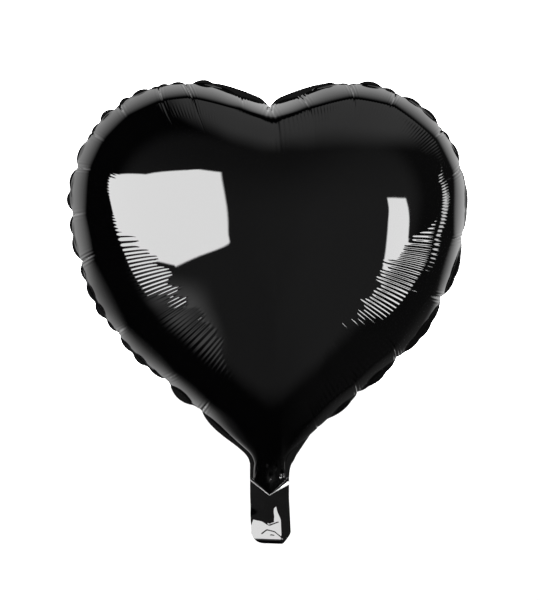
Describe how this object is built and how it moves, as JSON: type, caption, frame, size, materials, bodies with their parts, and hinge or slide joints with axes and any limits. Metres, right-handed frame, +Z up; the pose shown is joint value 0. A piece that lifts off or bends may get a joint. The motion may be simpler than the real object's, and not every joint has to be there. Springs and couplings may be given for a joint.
{
  "type": "heart-shaped foil balloon",
  "caption": "Inflated heart-shaped balloon of black metallised film with a flat filling tail and a self-sealing film valve.",
  "frame": {"origin": "tip of the V-shaped neck weld in the seam plane, where a tie or a balloon stick's cup holds the neck", "axes": "+Z up through the middle of the heart, +Y towards the rear panel, -Y towards the viewer of the front panel, +X to that viewer's right"},
  "size_m": [0.3696, 0.1852, 0.4268],
  "materials": {
    "black_foil": "gloss",
    "clear_valve_film": "gloss",
    "release_coating": "matte"
  },
  "bodies": {
    "envelope": {"front_panel": "black_foil", "rear_panel": "black_foil", "perimeter_weld": "black_foil", "neck_weld": "black_foil", "valve_front_ply": "clear_valve_film", "valve_rear_ply": "clear_valve_film", "valve_release_coating": "release_coating", "valve_side_welds": "clear_valve_film"},
    "tail": {"tail_front_ply": "black_foil", "tail_rear_ply": "black_foil", "tail_rim_weld": "black_foil", "tail_valve_front_ply": "clear_valve_film", "tail_valve_rear_ply": "clear_valve_film", "tail_valve_side_welds": "clear_valve_film"}
  },
  "joints": [
    {"name": "tail_fold", "type": "hinge", "parent": "envelope", "child": "tail", "pos_m": [0, 0, -0.0033], "axis": [1, 0, 0], "range_deg": [-150, 150]}
  ]
}
